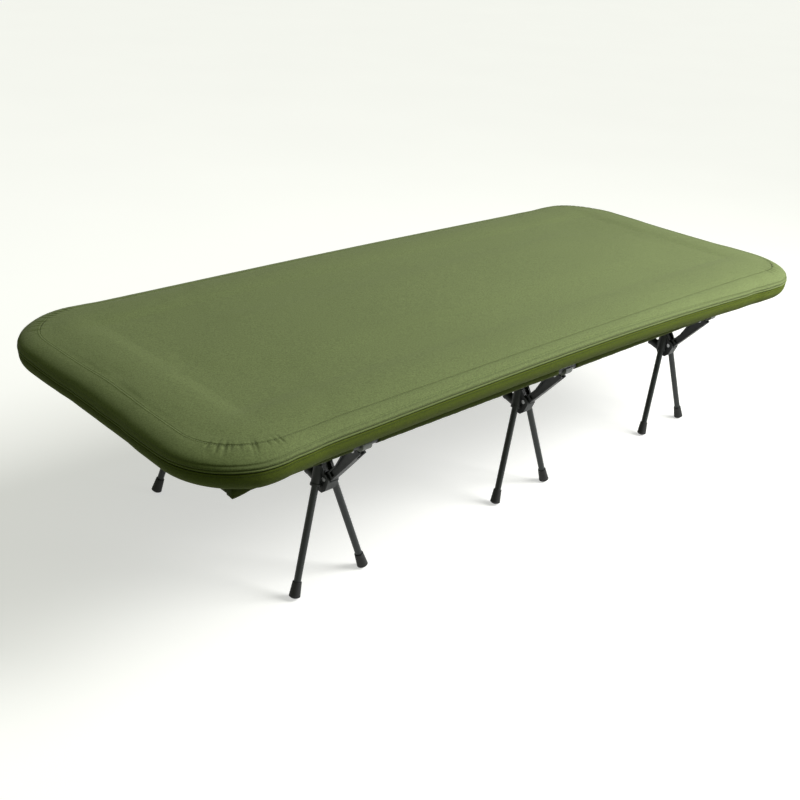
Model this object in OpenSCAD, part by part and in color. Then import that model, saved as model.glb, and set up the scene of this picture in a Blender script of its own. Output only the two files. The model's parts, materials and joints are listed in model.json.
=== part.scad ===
// Low folding camp cot with a zipped mattress pad.
// Three leg sets carry two sleeved side rails on over-centre lever arms, and the pad lies on the
// taut sheet between the rails. Units are millimetres.
// +X runs along the cot to the head end, +Y to the left side, +Z up. The origin is on the floor
// under the middle of the cot.

/* [Mattress pad] */
// Length of the pad
pad_length = 1900; // [1800:10:2000]
// Width of the pad
pad_width = 790; // [760:5:820]
// Thickness of the pad
pad_thick = 79; // [60:1:90]
// Radius of the pad's corners seen from above
pad_corner = 159; // [120:1:180]
// How far the rounding of the pad's lower edge reaches inwards
low_in = 66; // [40:1:72]
// How high the rounding of the pad's lower edge reaches
low_rise = 42; // [30:1:44]
// How far the pad's top shoulder reaches inwards
shoulder_in = 45; // [30:1:55]
// How far the pad's top shoulder drops
shoulder_drop = 21; // [12:1:24]
// Thickness of the cover fabric
cover_thick = 1.2; // [0.8:0.1:2]
// Height of the gap that shows the zip
zip_gap = 12; // [8:1:14]

/* [Sheet] */
// Length of the cot sheet, corner tip to corner tip
sheet_length = 1754; // [1700:2:1780]
// Height of the sheet's top face above the floor
sheet_top = 359; // [350:1:370]
// Thickness of the sheet fabric
sheet_thick = 1.2; // [0.8:0.1:1.6]
// Length of each cut-out where a clamp grips the bare rail
cutout_length = 60; // [50:2:80]

/* [Rails] */
// Distance of each side rail from the middle of the cot
rail_y = 329; // [320:1:335]
// Outside diameter of the rail tube
rail_od = 16; // [14:0.5:18]
// Wall of the rail tube
rail_wall = 1.2; // [1:0.1:1.6]
// Number of tube sections in a rail
rail_sections = 4; // [3:1:5]

/* [Leg sets] */
// Distance between neighbouring leg sets
set_pitch = 585; // [560:5:600]
// Distance of each foot from the middle of the cot
foot_y = 251.5; // [245:0.5:260]
// Distance of each foot from the middle of its leg set
foot_x = 85; // [75:1:95]
// Outside diameter of the leg tube
leg_od = 14.6; // [13:0.2:16]
// Wall of the leg tube
leg_wall = 1.3; // [1:0.1:1.6]
// Distance of the lever pivots from the middle of the cot
pivot_y = 240; // [236:1:244]
// Height of the lever pivots above the floor
pivot_z = 236; // [232:1:240]
// Outside diameter of the crossbar tube
bar_od = 16; // [14:0.5:16]
// Slope of the crossbar's outer ends, in degrees
bar_slope = 19; // [16:1:21]

/* [Hidden] */
$fn = 96;
SIDES = ["left", "right"];
SETS = ["foot", "mid", "head"];
PLY = 0.3;               // free gap between soft pieces that touch
FIT = 0.05;              // radial clearance of a running or sliding fit
WALL_GAP = 0.25;         // half the gap between two tubes that butt together
CLEAR = 60;              // size of a cutter that only has to reach past its part

// Pad
pad_low = sheet_top + 0.5;
pad_high = pad_low + pad_thick;
corner_x = pad_length / 2 - pad_corner;
corner_y = pad_width / 2 - pad_corner;
waist_z = pad_low + 51;                    // middle of the zip gap, near where the pad is widest
shoulder_z = pad_high - shoulder_drop;
top_seam_in = shoulder_in - 2;             // top seam, measured inwards from the pad's side
tape_in = 5.2;                             // how deep the zip tape lies behind the side
foam_in = 5.6;                             // how far the foam stays inside the cover at its sides
arc_steps = 8;
slider_x = 700;
slider_size = [13, 2.2, 8.6];
pull_size = [26, 1, 7];

// Rails and sheet
rail_z = sheet_top - 9.5;
rail_r = rail_od / 2;
rail_half = sheet_length / 2 - 9;
section_length = 2 * rail_half / rail_sections;
spigot_length = 90;
cap_lip = 3;
cord_r = 1.5;
sleeve_in_r = rail_r + PLY;
sleeve_out_r = sleeve_in_r + sheet_thick;
pocket_length = 38;
sleeve_half = sheet_length / 2 - pocket_length - PLY;
hem_reach = 12;                            // width of the hem that joins a sleeve to the sheet
sheet_half_y = rail_y - hem_reach - PLY;
notch_depth = 16;
end_hem_width = 22;

// Lever arm, in its own plane: along it from the pivot to the rail, and square to it
arm_dy = rail_y - pivot_y;
arm_dz = rail_z - pivot_z;
arm_length = norm([arm_dy, arm_dz]);
arm_angle = atan2(arm_dz, arm_dy);
arm_half_x = 8.5;
arm_root_r = 10;
arm_web = 4.5;                             // half of the web left between the arm's two pockets
root_clear = 2;                            // room round the arm's root inside its hub
swing_from = 8;                            // the wedge of the hub's slot, up from level
swing_to = 124;
clamp_out_r = 14;
clamp_half_x = 11;
clamp_in_r = rail_r + FIT;
jaw_r = (clamp_out_r - clamp_in_r) / 2;
jaw_mid_r = (clamp_out_r + clamp_in_r) / 2;
jaw_inner_angle = 146;                     // where the inner jaw ends, from straight outwards
jaw_outer_angle = 362;                     // where the outer jaw ends
arm_tip = arm_length - clamp_out_r - 2;
tang_half_x = 4;
tang_half = 9;
tang_start = arm_tip - 22;
rivet_r = 2.5;
rivet_along = arm_tip - 11;

// Hub
pin_r = 3;
pin_head_r = 4.6;
pin_head_h = 1.6;
lug_in_x = 9;
lug_out_x = 13.5;
lug_r = 12;
barrel_r = 10.2;
barrel_start = 214;                        // leg barrel, measured along the leg from its foot
barrel_end = 256;
socket_end = 253;
collar_r = 11.2;
collar_h = 5;
bar_barrel_r = 11;
bar_end_y = 212;
bar_mouth_y = 178;
bar_end_z = 218;

// Legs and feet, each along its own axis from the middle of the foot's round bottom
foot_r = 16;
foot_out_r = 12;
foot_top_r = 9.2;
foot_top = 19;
foot_bore = -5;
leg_axis = [-(foot_x - 11.15), -(foot_y - 221.1), 255.4 - foot_r];
leg_tilt = atan2(norm([leg_axis.x, leg_axis.y]), leg_axis.z);
leg_turn = atan2(leg_axis.y, leg_axis.x);

// Crossbar: one long arc between the hubs, rising to the middle
bar_r = bar_od / 2;
bar_wall = 1.3;
bar_arc_r = bar_end_y / sin(bar_slope);
bar_arc_z = bar_end_z - bar_arc_r * cos(bar_slope);
bar_mouth_z = bar_arc_z + sqrt(bar_arc_r * bar_arc_r - bar_mouth_y * bar_mouth_y);
bar_barrel_slope = atan2(bar_mouth_z - bar_end_z, bar_end_y - bar_mouth_y);
bar_barrel_length = norm([bar_mouth_z - bar_end_z, bar_end_y - bar_mouth_y]);
ferrule_r = 9.6;
ferrule_half = 30;

function set_x(k) = (k == "foot" ? -1 : k == "head" ? 1 : 0) * set_pitch;

// Points of an elliptical arc about a centre
function arc(c, rx, ry, from, to, steps = arc_steps) =
    [for (i = [0 : steps]) let (a = from + (to - from) * i / steps) c + [rx * cos(a), ry * sin(a)]];

// Low edge and shoulder of the pad's section, a given depth inside its outer face
function low_arc(depth) = arc([pad_corner - low_in, pad_low + low_rise], low_in - depth, low_rise - depth, -90, 0);
function shoulder_arc(depth, reach) = arc([pad_corner - shoulder_in, shoulder_z],
    shoulder_in - depth, shoulder_drop - depth, 0, acos((shoulder_in - reach) / (shoulder_in - depth)));
// Angle along the crossbar's arc at a distance from the middle of the cot
function bar_angle(y) = asin(y / bar_arc_r);
function backwards(points) = [for (i = [len(points) - 1 : -1 : 0]) points[i]];

// Left and right, foot and head
module on_side(s) {
    if (s == "left") children();
    else mirror([0, 1, 0]) children();
}
module both_x() {
    children();
    mirror([1, 0, 0]) children();
}
module four_corners() {
    both_x() {
        children();
        mirror([0, 1, 0]) children();
    }
}

// Extrudes a section drawn in Y-Z along X
module along_x(from, to) {
    translate([from, 0, 0]) rotate([90, 0, 90]) linear_extrude(to - from) children();
}
module along_y(from, to) {
    translate([0, to, 0]) rotate([90, 0, 0]) linear_extrude(to - from) children();
}
module rod_x(r, from, to) {
    translate([from, 0, 0]) rotate([0, 90, 0]) cylinder(r = r, h = to - from);
}
module tube(r_out, r_in, h) {
    difference() {
        cylinder(r = r_out, h = h);
        translate([0, 0, -1]) cylinder(r = r_in, h = h + 2);
    }
}
module tube_x(r_out, r_in, from, to) {
    translate([from, 0, 0]) rotate([0, 90, 0]) tube(r_out, r_in, to - from);
}

// Sweeps a section round the pad's plan: x is the distance out from a corner's centre, y the height
module round_the_pad() {
    four_corners() translate([corner_x, corner_y, 0]) rotate_extrude(angle = 90) children();
    both_x() translate([corner_x, 0, 0]) along_y(-corner_y, corner_y) children();
    for (m = [0, 1]) mirror([0, m, 0]) translate([0, corner_y, 0]) along_x(-corner_x, corner_x) children();
}
module pad_middle(low, high) {
    translate([-corner_x, -corner_y, low]) cube([2 * corner_x, 2 * corner_y, high - low]);
}

// ---- Mattress pad ----
module pad_foam_core() {
    low = pad_low + cover_thick + PLY;
    high = pad_high - cover_thick - PLY;
    color("lightyellow") {
        round_the_pad() polygon(concat(
            [[0, low]],
            arc([pad_corner - low_in, pad_low + low_rise], low_in - foam_in, low_rise - cover_thick - PLY, -90, 0),
            arc([pad_corner - shoulder_in, shoulder_z],
                shoulder_in - foam_in, shoulder_drop - cover_thick - PLY, 0, 90),
            [[0, high]]));
        pad_middle(low, high);
    }
}
module pad_top_panel() {
    low = pad_high - cover_thick;
    reach = pad_corner - top_seam_in - PLY;
    color("olivedrab") {
        round_the_pad() translate([0, low]) square([reach, cover_thick]);
        pad_middle(low, pad_high);
    }
}
module pad_side_band() {
    foot = waist_z + zip_gap / 2;
    color("olive") round_the_pad() polygon(concat(
        [[pad_corner, foot]],
        shoulder_arc(0, top_seam_in),
        backwards(shoulder_arc(cover_thick, top_seam_in)),
        [[pad_corner - cover_thick, foot]]));
}
module pad_zip_tape() {
    color("darkolivegreen") round_the_pad()
        translate([pad_corner - tape_in, waist_z - zip_gap / 2 - 4]) square([cover_thick, zip_gap + 8]);
}
module pad_bottom_panel() {
    head = waist_z - zip_gap / 2;
    color("darkolivegreen") {
        round_the_pad() polygon(concat(
            [[0, pad_low]],
            low_arc(0),
            [[pad_corner, head], [pad_corner - cover_thick, head]],
            backwards(low_arc(cover_thick)),
            [[0, pad_low + cover_thick]]));
        pad_middle(pad_low, pad_low + cover_thick);
    }
}
module zip_slider() {
    face = pad_width / 2 - tape_in + cover_thick;
    color("dimgray") translate([slider_x, face, waist_z])
        translate([-slider_size.x / 2, 0, -slider_size.z / 2]) cube(slider_size);
}
module zip_pull() {
    face = pad_width / 2 - tape_in + cover_thick + slider_size.y;
    color("silver") translate([slider_x, face, waist_z]) difference() {
        translate([-2, 0, -pull_size.z / 2]) cube(pull_size);
        translate([pull_size.x - 6, -1, 0]) rotate([-90, 0, 0]) cylinder(r = 2, h = 4);
    }
}

// ---- Cot sheet ----
module bed_sheet() {
    half_x = sheet_length / 2 - end_hem_width;
    low = sheet_top - sheet_thick;
    color("olive") difference() {
        translate([-half_x, -sheet_half_y, low]) cube([2 * half_x, 2 * sheet_half_y, sheet_thick]);
        for (k = SETS, s = SIDES) on_side(s)
            translate([set_x(k) - cutout_length / 2, sheet_half_y - notch_depth, low - 1])
                cube([cutout_length, 2 * notch_depth, sheet_thick + 2]);
    }
}
module sheet_end_hems() {
    color("darkolivegreen") both_x()
        translate([sheet_length / 2 - end_hem_width + PLY, -sheet_half_y, sheet_top - 2 * sheet_thick])
            cube([end_hem_width - PLY, 2 * sheet_half_y, 2 * sheet_thick]);
}
module rail_sleeve(s) {
    color("olive") on_side(s) difference() {
        union() {
            translate([0, rail_y, rail_z]) rod_x(sleeve_out_r, -sleeve_half, sleeve_half);
            translate([-sleeve_half, rail_y - hem_reach, sheet_top - sheet_thick])
                cube([2 * sleeve_half, hem_reach, sheet_thick]);
        }
        translate([0, rail_y, rail_z]) rod_x(sleeve_in_r, -sleeve_half - 1, sleeve_half + 1);
        for (k = SETS) translate([set_x(k) - cutout_length / 2, rail_y - CLEAR / 2, rail_z - CLEAR / 2])
            cube([cutout_length, CLEAR, CLEAR]);
    }
}
module corner_pockets(s) {
    tip = sheet_length / 2;
    color("darkolivegreen") on_side(s) both_x() translate([0, rail_y, rail_z]) {
        tube_x(sleeve_out_r, sleeve_in_r, tip - pocket_length, tip - sheet_thick);
        rod_x(sleeve_out_r, tip - sheet_thick, tip);
    }
}

// ---- Side rails ----
module rail_tubes(s) {
    color("dimgray") on_side(s) translate([0, rail_y, rail_z])
        for (i = [0 : rail_sections - 1])
            tube_x(rail_r, rail_r - rail_wall,
                -rail_half + i * section_length + WALL_GAP,
                -rail_half + (i + 1) * section_length - WALL_GAP);
}
module rail_spigots(s) {
    r = rail_r - rail_wall - FIT;
    color("silver") on_side(s) translate([0, rail_y, rail_z])
        for (i = [1 : rail_sections - 1])
            translate([-rail_half + i * section_length, 0, 0])
                tube_x(r, r - 1.5, -spigot_length / 2, spigot_length / 2);
}
module rail_end_caps(s) {
    plug_r = rail_r - rail_wall - FIT;
    color("black") on_side(s) both_x() translate([0, rail_y, rail_z]) difference() {
        union() {
            rod_x(plug_r, rail_half - 16, rail_half);
            rod_x(rail_r, rail_half, rail_half + cap_lip);
        }
        rod_x(cord_r + FIT, rail_half - 17, rail_half - 4);
    }
}
module rail_shock_cord(s) {
    color("white") on_side(s) translate([0, rail_y, rail_z]) rod_x(cord_r, -rail_half + 5, rail_half - 5);
}

// ---- Lever arms and rail clamps ----
// Turns a shape drawn along the arm into its place: x along the arm, y square to it, extruded along X
module in_arm_plane(half_x) {
    translate([0, pivot_y, pivot_z]) rotate([arm_angle, 0, 0]) along_x(-half_x, half_x) children();
}
module arm_outline() {
    circle(r = arm_root_r);
    polygon([
        [0, -arm_root_r], [70, -13], [arm_tip, -15], [arm_tip, 13.5],
        [100, 13.5], [70, 9.2], [46, 5.2], [12, 6.5], [0, arm_root_r]]);
}
module arm_pocket() {
    polygon([[20, -7.5], [70, -9.6], [tang_start - 8, -11], [tang_start - 8, 10.5], [70, 5.8], [46, 2], [20, 3]]);
}
module lever_arm(k, s) {
    color("#26282a") translate([set_x(k), 0, 0]) on_side(s) difference() {
        in_arm_plane(arm_half_x) arm_outline();
        both_x() translate([arm_web + arm_half_x, 0, 0]) in_arm_plane(arm_half_x) arm_pocket();
        in_arm_plane(tang_half_x + FIT) translate([tang_start, -CLEAR / 2]) square(CLEAR);
        translate([0, pivot_y, pivot_z]) rod_x(pin_r + FIT, -CLEAR, CLEAR);
        in_arm_plane(CLEAR) translate([rivet_along, 0]) circle(r = rivet_r);
        translate([0, rail_y, rail_z]) rod_x(clamp_out_r + 1, -CLEAR, CLEAR);
    }
}
// The open side of the hook, from its outer jaw round to its inner one
module clamp_mouth() {
    steps = 8;
    span = 360 + jaw_inner_angle - jaw_outer_angle;
    polygon(concat([[0, 0]],
        [for (i = [0 : steps]) let (a = jaw_outer_angle - 360 + span * i / steps) CLEAR * [cos(a), sin(a)]]));
}
module rail_clamp(k, s) {
    color("darkgray") translate([set_x(k), 0, 0]) on_side(s) difference() {
        union() {
            translate([0, rail_y, rail_z]) {
                along_x(-clamp_half_x, clamp_half_x) difference() {
                    circle(r = clamp_out_r);
                    circle(r = clamp_in_r);
                    clamp_mouth();
                }
                for (a = [jaw_inner_angle, jaw_outer_angle])
                    translate([0, jaw_mid_r * cos(a), jaw_mid_r * sin(a)])
                        rod_x(jaw_r, -clamp_half_x, clamp_half_x);
            }
            in_arm_plane(tang_half_x) translate([tang_start + PLY, -tang_half])
                square([arm_length - tang_start - jaw_mid_r, 2 * tang_half]);
        }
        in_arm_plane(CLEAR) translate([rivet_along, 0]) circle(r = rivet_r + FIT);
    }
}
module clamp_rivets(s) {
    head_h = 1.5;
    color("silver") for (k = SETS) translate([set_x(k), 0, 0]) on_side(s) {
        in_arm_plane(arm_half_x + head_h / 2) translate([rivet_along, 0]) circle(r = rivet_r);
        both_x() translate([arm_half_x + head_h / 2, 0, 0])
            in_arm_plane(head_h / 2) translate([rivet_along, 0]) circle(r = rivet_r + 1.5);
    }
}

// ---- Hubs and their pins ----
// Places a shape drawn upwards from the middle of a foot onto the leg's axis
module on_leg() {
    translate([foot_x, foot_y, foot_r]) rotate([0, 0, leg_turn]) rotate([0, leg_tilt, 0]) children();
}
// Places a shape drawn upwards onto the crossbar's outer end, pointing inwards from the hub
module on_bar_end() {
    translate([0, bar_end_y, bar_end_z]) rotate([90 - bar_barrel_slope, 0, 0]) children();
}
module hub_block_outline() {
    polygon([
        [206, 216], [212, 206], [234, 203], [244, 212], [252, 232],
        [246, 246], [240, 248], [231, 262], [212, 262], [206, 238]]);
}
module hub(k, s) {
    color("#1c1e20") translate([set_x(k), 0, 0]) on_side(s) difference() {
        union() {
            along_x(-lug_out_x, lug_out_x) hub_block_outline();
            translate([0, pivot_y, pivot_z]) rod_x(lug_r, -lug_out_x, lug_out_x);
            both_x() on_leg() {
                translate([0, 0, barrel_start]) cylinder(r = barrel_r, h = barrel_end - barrel_start);
                translate([0, 0, barrel_start]) cylinder(r = collar_r, h = collar_h);
                translate([0, 0, barrel_end]) cylinder(r1 = barrel_r, r2 = barrel_r - 3, h = 3);
            }
            on_bar_end() {
                translate([0, 0, -3]) cylinder(r = bar_barrel_r, h = bar_barrel_length + 3);
                translate([0, 0, bar_barrel_length - 4]) cylinder(r = bar_barrel_r + 1, h = 4);
            }
        }
        both_x() on_leg() translate([0, 0, barrel_start - 1])
            cylinder(r = leg_od / 2 + FIT, h = socket_end - barrel_start + 1);
        on_bar_arc(bar_angle(bar_mouth_y - 6), bar_slope) circle(r = bar_r + FIT);
        // slot for the lever arm: a round clearance at its root and the wedge that it swings through
        translate([0, pivot_y, pivot_z]) rod_x(arm_root_r + root_clear, -lug_in_x, lug_in_x);
        translate([0, pivot_y, pivot_z]) along_x(-lug_in_x, lug_in_x)
            polygon(concat([[0, 0]],
                [for (a = [swing_from, (swing_from + swing_to) / 2, swing_to]) CLEAR * [cos(a), sin(a)]]));
        translate([0, pivot_y, pivot_z]) rod_x(pin_r + FIT, -CLEAR, CLEAR);
    }
}
module pivot_pins() {
    color("silver") for (k = SETS, s = SIDES)
        translate([set_x(k), 0, 0]) on_side(s) translate([0, pivot_y, pivot_z]) {
            rod_x(pin_r, -lug_out_x - 1, lug_out_x + 1);
            both_x() rod_x(pin_head_r, lug_out_x, lug_out_x + pin_head_h);
        }
}

// ---- Crossbars ----
// Sweeps a section round the crossbar's long arc, between two angles from its top
module on_bar_arc(from, to) {
    translate([0, 0, bar_arc_z]) rotate([0, -90, 0]) rotate([0, 0, from])
        rotate_extrude(angle = to - from) translate([bar_arc_r, 0]) children();
}
module ring(r_out, r_in) {
    difference() {
        circle(r = r_out);
        circle(r = r_in);
    }
}
module crossbar_tube(k, s) {
    color("#26282a") translate([set_x(k), 0, 0]) on_side(s)
        on_bar_arc(bar_angle(WALL_GAP), bar_angle(bar_end_y - WALL_GAP)) ring(bar_r, bar_r - bar_wall);
}
module crossbar_ferrule(k) {
    color("#26282a") translate([set_x(k), 0, 0])
        on_bar_arc(-bar_angle(ferrule_half), bar_angle(ferrule_half)) ring(ferrule_r, bar_r + FIT);
}

// ---- Legs and feet ----
module leg_pair(k, s) {
    color("#26282a") translate([set_x(k), 0, 0]) on_side(s) both_x() on_leg()
        translate([0, 0, foot_bore + 0.2]) tube(leg_od / 2, leg_od / 2 - leg_wall, socket_end - foot_bore - 0.6);
}
module rubber_foot() {
    difference() {
        intersection() {
            translate([0, 0, -foot_r]) cylinder(r1 = foot_out_r, r2 = foot_top_r, h = foot_r + foot_top);
            union() {
                sphere(r = foot_r);
                cylinder(r = foot_r, h = foot_top + 1);
            }
        }
        translate([0, 0, foot_bore]) cylinder(r = leg_od / 2 + FIT, h = foot_top - foot_bore + 1);
    }
}
module rubber_feet(k) {
    color("#151515") translate([set_x(k), 0, 0]) four_corners() on_leg() rubber_foot();
}

// ---- Every piece by its name ----
pad_foam_core();
pad_top_panel();
pad_side_band();
pad_zip_tape();
pad_bottom_panel();
zip_slider();
zip_pull();
bed_sheet();
sheet_end_hems();
pivot_pins();
for (s = SIDES) {
    rail_sleeve(s);
    corner_pockets(s);
    rail_tubes(s);
    rail_spigots(s);
    rail_end_caps(s);
    rail_shock_cord(s);
    clamp_rivets(s);
}
for (k = SETS, s = SIDES) {
    lever_arm(k, s);
    rail_clamp(k, s);
    hub(k, s);
    leg_pair(k, s);
    crossbar_tube(k, s);
}
for (k = SETS) {
    crossbar_ferrule(k);
    rubber_feet(k);
}
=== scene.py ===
import json
import math

import bmesh
import bpy
import numpy as np
from mathutils import Matrix, Vector, kdtree


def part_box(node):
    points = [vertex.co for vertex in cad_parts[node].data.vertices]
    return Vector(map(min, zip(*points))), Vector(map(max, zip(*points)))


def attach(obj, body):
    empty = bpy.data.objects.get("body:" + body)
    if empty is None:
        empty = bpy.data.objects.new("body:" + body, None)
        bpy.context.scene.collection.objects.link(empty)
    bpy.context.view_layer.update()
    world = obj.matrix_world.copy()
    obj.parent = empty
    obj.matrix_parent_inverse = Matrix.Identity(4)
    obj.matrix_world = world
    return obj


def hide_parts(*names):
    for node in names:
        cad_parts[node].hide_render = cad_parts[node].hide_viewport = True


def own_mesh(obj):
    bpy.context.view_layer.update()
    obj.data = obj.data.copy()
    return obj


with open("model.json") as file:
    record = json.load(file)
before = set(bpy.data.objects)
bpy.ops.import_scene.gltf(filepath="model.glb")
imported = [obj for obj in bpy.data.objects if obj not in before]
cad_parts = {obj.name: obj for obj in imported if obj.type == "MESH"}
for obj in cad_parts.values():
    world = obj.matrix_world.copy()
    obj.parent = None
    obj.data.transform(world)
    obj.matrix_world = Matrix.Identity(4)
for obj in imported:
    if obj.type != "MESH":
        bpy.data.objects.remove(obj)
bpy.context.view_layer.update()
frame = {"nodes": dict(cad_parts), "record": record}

MM = 0.001
SIDES = {"left": 1, "right": -1}
SETS = ("foot", "mid", "head")
rng = np.random.default_rng(7)

# ---------------------------------------------------------------- sizes of the sewn detail
CORNER = 159 * MM            # plan radius of the pad's corners
LOW_ROUND = 36 * MM          # rounding of its low edge
SHOULDER_IN = 45 * MM        # width and height of its rounded shoulder
SHOULDER_DROP = 28 * MM
SEAM_IN = 43 * MM            # top seam, inwards from the pad's side
SEAM_REACH = CORNER - SEAM_IN
CLOTH = 1.1 * MM             # thickness of the cover and of the cot's sheet
CLOTH_CAP = 3 * MM           # how far the simulated cloth may move
TUCK_DEPTH = 3 * MM          # deepest corner tuck
STITCH_PITCH = 4.2 * MM
STITCH_LENGTH = 2.94 * MM
THREAD_R = 0.42 * MM
TEETH_PITCH = 2.6 * MM
NOTCH_HALF = 30 * MM         # half of each cut-out at a rail clamp
NOTCH_DEPTH = 16 * MM
SIDE_LIFT = 14 * MM          # rise of the zip along a side, for a bow of 1
SIDE_INSET = 10 * MM         # how far the side draws in there
END_DROP = 10 * MM           # fall of the zip at an end, for a bow of -1
CREASE_UP = 11 * MM          # soft fold, above the piping
WAIST = 49.2 * MM            # the piping's height above the pad's underside, where there is no bow
PIPING_R = 1.6 * MM
ZIP_SLOT = 2.4 * MM          # gap that shows the zip's teeth

# ---------------------------------------------------------------- sizes from the frame
base_low, base_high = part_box("pad_bottom_panel")
sheet_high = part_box("bed_sheet")[1]
rail_low, rail_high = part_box("rail_tubes_left")
slider_low, slider_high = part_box("zip_slider")

PAD_HALF_X, PAD_HALF_Y = base_high.x, base_high.y
PAD_LOW, PAD_HIGH = base_low.z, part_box("pad_top_panel")[1].z
CORE_X, CORE_Y = PAD_HALF_X - CORNER, PAD_HALF_Y - CORNER
RAIL_Y = (rail_low.y + rail_high.y) / 2
RAIL_Z = (rail_low.z + rail_high.z) / 2
SHEET_TOP, SHEET_EDGE = sheet_high.z, sheet_high.y
SLEEVE_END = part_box("rail_sleeve_left")[1].x
TIP_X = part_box("sheet_end_hems")[1].x
SET_X = {k: sum(c.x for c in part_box(f"hub_{k}_left")) / 2 for k in SETS}

# ---------------------------------------------------------------- meshes
def link_object(name, data):
    obj = bpy.data.objects.new(name, data)
    bpy.context.scene.collection.objects.link(obj)
    return obj


def shade_smooth(obj):
    obj.data.polygons.foreach_set("use_smooth", [True] * len(obj.data.polygons))


def make_object(name, vertices, faces, smooth=True):
    mesh = bpy.data.meshes.new(name)
    mesh.from_pydata([tuple(map(float, v)) for v in vertices], [], [tuple(map(int, f)) for f in faces])
    mesh.validate()
    mesh.polygons.foreach_set("use_smooth", [smooth] * len(mesh.polygons))
    return link_object(name, mesh)


def object_from(bm, name):
    """Makes an object of a bmesh and lets the bmesh go."""
    mesh = bpy.data.meshes.new(name)
    bm.to_mesh(mesh)
    bm.free()
    return link_object(name, mesh)


def clean_mesh(obj, merge=2e-5):
    """Welds points that meet, drops slivers and turns the faces outwards."""
    bm = bmesh.new()
    bm.from_mesh(obj.data)
    bmesh.ops.remove_doubles(bm, verts=bm.verts, dist=merge)
    bmesh.ops.dissolve_degenerate(bm, dist=1e-7, edges=bm.edges)
    bmesh.ops.recalc_face_normals(bm, faces=bm.faces)
    bm.to_mesh(obj.data)
    bm.free()
    shade_smooth(obj)


def outward_faces(obj, upwards=False):
    """Drops stray points and turns the faces outwards, or an open sheet's faces upwards."""
    bm = bmesh.new()
    bm.from_mesh(obj.data)
    bmesh.ops.delete(bm, geom=[v for v in bm.verts if not v.link_faces], context="VERTS")
    bmesh.ops.recalc_face_normals(bm, faces=bm.faces)
    if upwards and sum(f.normal.z for f in bm.faces) < 0:
        bmesh.ops.reverse_faces(bm, faces=bm.faces)
    bm.to_mesh(obj.data)
    bm.free()


def apply_modifiers(obj):
    graph = bpy.context.evaluated_depsgraph_get()
    baked = bpy.data.meshes.new_from_object(obj.evaluated_get(graph))
    obj.modifiers.clear()
    obj.data = baked


def thicken(obj, thickness):
    """Gives a sheet its thickness, on its inner side."""
    modifier = obj.modifiers.new("cloth", "SOLIDIFY")
    modifier.thickness = thickness
    modifier.offset = -1
    modifier.use_even_offset = False
    apply_modifiers(obj)


def round_edges(obj, width):
    modifier = obj.modifiers.new("edge", "BEVEL")
    modifier.width = width
    modifier.segments = 2
    apply_modifiers(obj)


def grid_faces(rows, columns, wrap_columns=False):
    """Faces between rows of points; wrapped columns close into a ring."""
    faces = []
    last = columns if wrap_columns else columns - 1
    for i in range(rows - 1):
        for j in range(last):
            k = (j + 1) % columns
            faces.append((i * columns + j, i * columns + k, (i + 1) * columns + k, (i + 1) * columns + j))
    return faces


def sweep(name, path, section):
    """Sweeps a section of (sideways, up) points along a closed level path of (point, sideways direction)."""
    vertices = []
    for point, side in path:
        for u, v in section:
            vertices.append((point[0] + side[0] * u, point[1] + side[1] * u, point[2] + v))
    n = len(section)
    faces = grid_faces(len(path), n, wrap_columns=True)
    start = (len(path) - 1) * n
    faces += [(start + j, start + (j + 1) % n, (j + 1) % n, j) for j in range(n)]
    obj = make_object(name, vertices, faces)
    clean_mesh(obj)
    return obj


def circle_section(radius, count=10):
    angles = np.linspace(0, 2 * math.pi, count, endpoint=False)
    return [(radius * math.cos(a), radius * math.sin(a)) for a in angles]


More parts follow.
